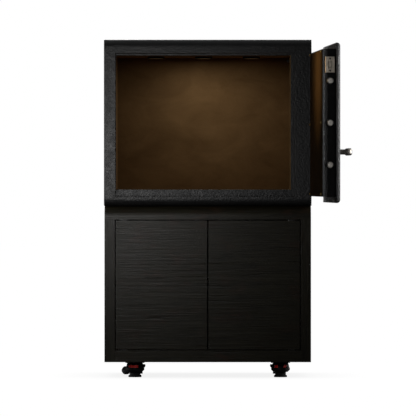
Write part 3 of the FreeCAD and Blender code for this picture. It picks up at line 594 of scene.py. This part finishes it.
door_bodies = ("safe_door", "handle", "bolt_work", "lock_bolt")
inner_nodes = ("back_lining", "side_linings", "ceiling_lining", "floor_deck",
               "light_housings", "light_lenses", "light_sensor")
corners = ("front_left", "front_right", "back_left", "back_right")
finishes = {
    coat: ("safe_wrap", "safe_side_plates", "safe_back_plate", "hinge_leaves", "hinge_arms", "door_plate"),
    inner_coat: ("strike_jamb", "door_jamb", "door_pan"),
    tan: ("back_lining", "side_linings", "ceiling_lining", "floor_deck", "door_panel"),
    fill: ("fire_fill",),
    black_plastic: ("light_housings", "latch_housings", "latch_plunger_left", "latch_plunger_right"),
    grey_plastic: ("light_sensor",),
    lens: ("light_lenses",),
    zinc: ("hinge_pins", "shelf_pins", "bolt_bar", "drive_pinion"),
    nickel: ("locking_bolts",),
    lock_metal: ("lock_case", "lock_bolt"),
    trim_metal: ("panel_trim",),
    brass: ("panel_screws",),
    chrome: ("handle_lever", "handle_spindle"),
    black_metal: ("anchor_bolts", "handle_rose", "pivot_plates", "caster_plates"),
    keypad_gloss: ("keypad",),
    wood_x: ("cabinet_top", "cabinet_bottom", "cabinet_back", "shelf",
             "cabinet_door_left", "cabinet_door_right"),
    wood_z: ("cabinet_sides",),
    caster_plastic: tuple("caster_housing_" + corner for corner in corners),
    wheel_plastic: tuple("caster_wheel_" + corner for corner in corners),
    red_plastic: tuple("caster_thumbwheel_" + corner for corner in corners),
    rubber: tuple("caster_foot_" + corner for corner in corners),
}
finish_of = {node: made for made, names in finishes.items() for node in names}
body_of = {node: body for body, names in frame["record"]["behaviour"]["bodies"].items() for node in names}


def paint_nodes():
    """Gives every CAD node its finish."""
    for node, made in finish_of.items():
        mesh = nodes[node].data
        mesh.materials.clear()
        mesh.materials.append(made)


# Pieces that stand for CAD nodes with their edges eased


def add_piece(name, mesh, node):
    """A new object on the node's body."""
    piece = bpy.data.objects.new(name, mesh)
    scene.collection.objects.link(piece)
    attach(piece, body_of[node])
    return piece


def clean_copy(source, name):
    """A mesh with the source's faces, welded and with the flat ones joined."""
    mesh = bpy.data.meshes.new(name)
    work = bmesh.new()
    work.from_mesh(source)
    bmesh.ops.remove_doubles(work, verts=work.verts, dist=weld_distance)
    bmesh.ops.dissolve_limit(work, angle_limit=flat_angle, verts=work.verts, edges=work.edges)
    for face in work.faces:
        face.smooth = True
        face.material_index = 0
    work.to_mesh(mesh)
    work.free()
    mesh.set_sharp_from_angle(angle=smooth_angle)
    return mesh


def merge(piece, other, operation):
    """Joins a mesh to the piece, or cuts it out of it."""
    tool = bpy.data.objects.new("tool", other)
    scene.collection.objects.link(tool)
    change = piece.modifiers.new("merged", "BOOLEAN")
    change.operation = operation
    change.solver = "EXACT"
    change.object = tool
    depsgraph = bpy.context.evaluated_depsgraph_get()
    merged = bpy.data.meshes.new_from_object(piece.evaluated_get(depsgraph))
    piece.modifiers.clear()
    finish = piece.data.materials[0]
    piece.data = clean_copy(merged, piece.name)
    piece.data.materials.append(finish)
    bpy.data.objects.remove(tool)


def ease(piece, width):
    """Rounds the piece's edges."""
    modifier = piece.modifiers.new("eased edges", "BEVEL")
    modifier.width = width
    modifier.segments = ease_steps
    modifier.limit_method = "ANGLE"
    modifier.angle_limit = ease_angle
    modifier.harden_normals = True


def stand_in(node):
    """A piece in the node's place, with its shape and finish."""
    mesh = clean_copy(nodes[node].data, node + "_eased")
    mesh.materials.append(finish_of[node])
    piece = add_piece(node + "_eased", mesh, node)
    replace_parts(piece, node)
    return piece


def eased(node, width):
    """A piece in the node's place, with its edges rounded."""
    piece = stand_in(node)
    ease(piece, width)
    return piece


def eased_shell():
    """Front, top, bottom and sides of the safe as one painted shell, with the welds ground flush."""
    mesh = clean_copy(nodes["safe_wrap"].data, "safe_shell")
    mesh.materials.append(coat)
    shell = add_piece("safe_shell", mesh, "safe_wrap")
    merge(shell, clean_copy(nodes["safe_side_plates"].data, "side_plates"), "UNION")
    ease(shell, steel_ease)
    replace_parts(shell, "safe_wrap", "safe_side_plates")


def sweep(work, faces, way):
    """Draws the faces out into a solid."""
    swept = bmesh.ops.extrude_face_region(work, geom=faces)
    moved = [item for item in swept["geom"] if isinstance(item, bmesh.types.BMVert)]
    bmesh.ops.translate(work, vec=way, verts=moved)


def rounded_top():
    """Cabinet top whose front edge is a wide roll."""
    lo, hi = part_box("cabinet_top")
    middle = Vector((0, lo.y + top_roll, hi.z - top_roll))
    outline = [middle + Vector((0, 0, 2 * top_roll))]
    for i in range(top_roll_steps + 1):
        turn = math.pi / 2 * i / top_roll_steps
        outline.append(middle + top_roll * Vector((0, -math.sin(turn), math.cos(turn))))
    outline += [middle + Vector((0, -2 * top_roll, 0)), middle + Vector((0, -2 * top_roll, 2 * top_roll))]
    work = bmesh.new()
    end = work.faces.new([work.verts.new(point + Vector((lo.x - top_roll, 0, 0))) for point in outline])
    sweep(work, [end], (hi.x - lo.x + 2 * top_roll, 0, 0))
    bmesh.ops.recalc_face_normals(work, faces=work.faces)
    corner = bpy.data.meshes.new("corner")
    work.to_mesh(corner)
    work.free()
    top = stand_in("cabinet_top")
    merge(top, corner, "DIFFERENCE")
    ease(top, wood_ease)


def edge_banded(node):
    """A lining whose front edges, towards the door, are black."""
    piece = eased(node, lining_ease)
    mesh = piece.data
    mesh.materials.append(black_edging_and_gap_shade)
    for face in mesh.polygons:
        if face.normal.y < facing_front:
            face.material_index = 1


def gap_shade_edged(node):
    """A cabinet door whose rounded edges are painted black: painted shade in the gaps between the doors."""
    piece = eased(node, door_ease)
    piece.data.materials.append(black_edging_and_gap_shade)
    piece.modifiers[0].material = 1


def eased_pieces():
    eased_shell()
    for node in ("safe_back_plate", "door_plate", "hinge_leaves", "hinge_arms"):
        eased(node, steel_ease)
    for node in ("door_pan", "strike_jamb", "door_jamb", "panel_trim", "lock_bolt", "light_sensor",
                 "latch_housings"):
        eased(node, small_ease)
    rounded_top()
    for node in ("cabinet_sides", "cabinet_bottom", "cabinet_back", "shelf"):
        eased(node, wood_ease)
    # the cabinet doors, with painted shade on their rounded edges for the gaps between them
    for node in ("cabinet_door_left", "cabinet_door_right"):
        gap_shade_edged(node)
    for node in ("side_linings", "ceiling_lining", "floor_deck"):
        edge_banded(node)
    eased("back_lining", lining_ease)
    eased("keypad", small_ease)


# Places of the separate solids in a node


def islands(node, view=Matrix()):
    """Lowest and highest corner of each separate solid in a node, left to right, as seen after a move."""
    work = bmesh.new()
    work.from_mesh(nodes[node].data)
    work.transform(view)
    bmesh.ops.remove_doubles(work, verts=work.verts, dist=weld_distance)
    left = set(work.verts)
    found = []
    while left:
        start = left.pop()
        group = [start]
        for vert in group:
            for edge in vert.link_edges:
                other = edge.other_vert(vert)
                if other in left:
                    left.remove(other)
                    group.append(other)
        lo = Vector(min(v.co[i] for v in group) for i in range(3))
        hi = Vector(max(v.co[i] for v in group) for i in range(3))
        found.append((lo, hi))
    work.free()
    return sorted(found, key=lambda box: (round(box[0].x, 4), round(box[0].y, 4), box[0].z))


# Fittings, those of the safe door built as it is when shut and then turned to where it rests


def door_turn():
    """From the door's shut place to where it rests."""
    joints = frame["record"]["behaviour"]["joints"]
    hinge = next(joint for joint in joints if joint["name"] == "safe_door_hinge")
    place = Matrix.Translation(hinge["pos_m"])
    turn = Matrix.Rotation(-math.radians(hinge["range_deg"][0]), 4, "Z")
    return place @ turn @ place.inverted()


def shut_box(node):
    """Corners of each solid in a node of the door, as they are when it is shut."""
    return islands(node, door_turn().inverted())


def add_mesh(work, name, node, made, turned=False):
    """An object from the mesh, riding where the node does."""
    if turned:
        work.transform(door_turn())
    bmesh.ops.recalc_face_normals(work, faces=work.faces)
    for face in work.faces:
        face.smooth = True
    mesh = bpy.data.meshes.new(name)
    work.to_mesh(mesh)
    work.free()
    mesh.set_sharp_from_angle(angle=smooth_angle)
    mesh.materials.append(made)
    return add_piece(name, mesh, node)


def block(lo, hi):
    """A box between two corners."""
    work = bmesh.new()
    bmesh.ops.create_cube(work, size=1.0)
    size = [high - low for low, high in zip(lo, hi)]
    bmesh.ops.scale(work, vec=size, verts=work.verts)
    bmesh.ops.translate(work, vec=(Vector(lo) + Vector(hi)) / 2, verts=work.verts)
    return work


def frame_return():
    """Steel return between the door's rebate and the lined inside."""
    strike_lo, strike_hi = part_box("strike_jamb")
    jamb_lo, jamb_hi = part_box("door_jamb")
    deck_lo, deck_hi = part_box("floor_deck")
    wall = strike_hi.x - strike_lo.x
    outer = (strike_hi.x, jamb_lo.z + wall, jamb_hi.x - wall, jamb_hi.z - wall)
    inner = (deck_lo.x, deck_hi.z, return_right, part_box("ceiling_lining")[0].z)
    work = bmesh.new()
    rings = []
    for x0, z0, x1, z1 in (outer, inner):
        ring = ((x0, z0), (x1, z0), (x1, z1), (x0, z1))
        rings.append([work.verts.new((x, jamb_hi.y - return_wall, z)) for x, z in ring])
    flat = [work.faces.new((rings[0][i], rings[0][i - 1], rings[1][i - 1], rings[1][i])) for i in range(4)]
    sweep(work, flat, (0, return_wall, 0))
    ease(add_mesh(work, "frame_return", "safe_wrap", coat), small_ease)


def edge_strip():
    """Suede that is turned over the return's edge on the hinge side."""
    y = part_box("door_jamb")[1].y - return_wall
    lo = (return_right, y - strip_wall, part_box("floor_deck")[1].z)
    hi = (return_right + strip_width, y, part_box("ceiling_lining")[0].z)
    add_mesh(block(lo, hi), "edge_strip", "side_linings", tan)


def door_lining():
    """Suede panel inside the door, with a rolled edge above its trim."""
    (lo, hi), = shut_box("door_panel")
    top = Vector((hi.x, hi.y + panel_proud, hi.z))
    work = block(lo, top)
    rim = [edge for edge in work.edges if all(abs(vert.co.y - top.y) < weld_distance for vert in edge.verts)]
    bmesh.ops.bevel(work, geom=rim, offset=panel_proud, segments=roll_steps, profile=0.5, affect="EDGES")
    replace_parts(add_mesh(work, "door_lining", "door_panel", tan, True), "door_panel")


def screw_head(place, axis, radius):
    """A domed, slotted head, with its slot upright."""
    work = bmesh.new()
    height = radius * screw_dome_share
    turns = [2 * math.pi * j / screw_steps for j in range(screw_steps)]
    rings = []
    for i in range(dome_steps):
        lean = math.pi / 2 * i / dome_steps
        wide = radius * math.cos(lean)
        rise = height * math.sin(lean)
        rings.append([work.verts.new((wide * math.cos(turn), wide * math.sin(turn), rise)) for turn in turns])
    tip = work.verts.new((0, 0, height))
    for low, high in zip(rings, rings[1:]):
        for j in range(screw_steps):
            work.faces.new((low[j - 1], low[j], high[j], high[j - 1]))
    for j in range(screw_steps):
        work.faces.new((rings[-1][j - 1], rings[-1][j], tip))
    half = radius * screw_slot_share
    wall = half * screw_cut_share
    for offset in (-half - wall, -half, half, half + wall):
        geometry = work.verts[:] + work.edges[:] + work.faces[:]
        bmesh.ops.bisect_plane(work, geom=geometry, plane_co=(offset, 0, 0), plane_no=(1, 0, 0))
    for vert in work.verts:
        if abs(vert.co.x) < half + weld_distance:
            vert.co.z = max(0, vert.co.z - radius * screw_cut_share)
    work.transform(Matrix.Translation(place) @ Vector(axis).to_track_quat("Z", "Y").to_matrix().to_4x4())
    return work


def panel_screw_heads():
    """Brass heads that hold the lining to the door."""
    face = shut_box("door_panel")[0][1].y + panel_proud
    work = bmesh.new()
    for lo, hi in shut_box("panel_screws"):
        middle = (lo + hi) / 2
        gather(work, screw_head((middle.x, face, middle.z), (0, 1, 0), screw_radius))
    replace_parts(add_mesh(work, "panel_screw_heads", "panel_screws", brass, True), "panel_screws")


def lock_screws():
    """Two screws in the lock's face plate, above and below its bolt."""
    (lo, hi), = shut_box("lock_case")
    work = bmesh.new()
    for z in (lo.z + lock_screw_inset, hi.z - lock_screw_inset):
        gather(work, screw_head((lo.x, (lo.y + hi.y) / 2, z), (-1, 0, 0), lock_screw_radius))
    add_mesh(work, "lock_screws", "lock_case", black_metal, True)


def bolt_ends():
    """Turned ends of the bolts: a bevel round a flat face."""
    work = bmesh.new()
    for lo, hi in shut_box("locking_bolts"):
        radius = (hi.z - lo.z) / 2
        cone = bmesh.new()
        bmesh.ops.create_cone(cone, cap_ends=True, segments=screw_steps, radius1=radius * bolt_rim_share,
                              radius2=radius * bolt_face_share, depth=bolt_end)
        place = Matrix.Translation((lo.x - bolt_end / 2, (lo.y + hi.y) / 2, (lo.z + hi.z) / 2))
        cone.transform(place @ Matrix.Rotation(-math.pi / 2, 4, "Y"))
        gather(work, cone)
    add_mesh(work, "bolt_ends", "locking_bolts", nickel, True)


def gather(work, part):
    """Adds one mesh to another."""
    mesh = bpy.data.meshes.new("part")
    part.to_mesh(mesh)
    part.free()
    work.from_mesh(mesh)
    bpy.data.meshes.remove(mesh)


def keypad_digits():
    """Plain numbers printed on the keypad."""
    (lo, hi), = shut_box("keypad")
    work = bmesh.new()
    middle_x = (lo.x + hi.x) / 2
    middle_z = (lo.z + hi.z) / 2
    for row, digits in enumerate(digit_rows):
        for column, digit in enumerate(digits):
            if digit == " ":
                continue
            curve = bpy.data.curves.new("digit", "FONT")
            curve.body = digit
            curve.size = digit_height
            curve.align_x = "CENTER"
            curve.align_y = "CENTER"
            curve.extrude = digit_proud
            holder = bpy.data.objects.new("digit", curve)
            mesh = bpy.data.meshes.new_from_object(holder)
            x = middle_x + (column - (len(digits) - 1) / 2) * digit_pitch_x
            z = middle_z - (row - (len(digit_rows) - 1) / 2) * digit_pitch_z
            mesh.transform(Matrix.Translation((x, lo.y, z)) @ Matrix.Rotation(math.pi / 2, 4, "X"))
            work.from_mesh(mesh)
            bpy.data.objects.remove(holder)
    add_mesh(work, "keypad_digits", "keypad", digit_ink, True)


def fittings():
    frame_return()
    edge_strip()
    door_lining()
    panel_screw_heads()
    lock_screws()
    bolt_ends()
    keypad_digits()


# Lamps inside


def add_inner_lamps():
    """A lamp under each lens, for all but the open door."""
    lamps = []
    for (lo, hi), power in zip(islands("light_lenses"), lamp_powers):
        middle = (lo + hi) / 2
        place = Vector((middle.x, middle.y, lo.z - lamp_gap))
        wide = hi.x - lo.x
        below = place - Vector((0, 0, 1))
        lamps.append(area_lamp("lens_lamp", place, below, (wide, wide), power, lamp_colour, "DISK"))
    receivers(lamps, "out of the inner light", door_pieces(), "EXCLUDE")


paint_nodes()
eased_pieces()
fittings()
add_world()
add_studio_lamps(add_floor())
add_inner_lamps()
add_camera()
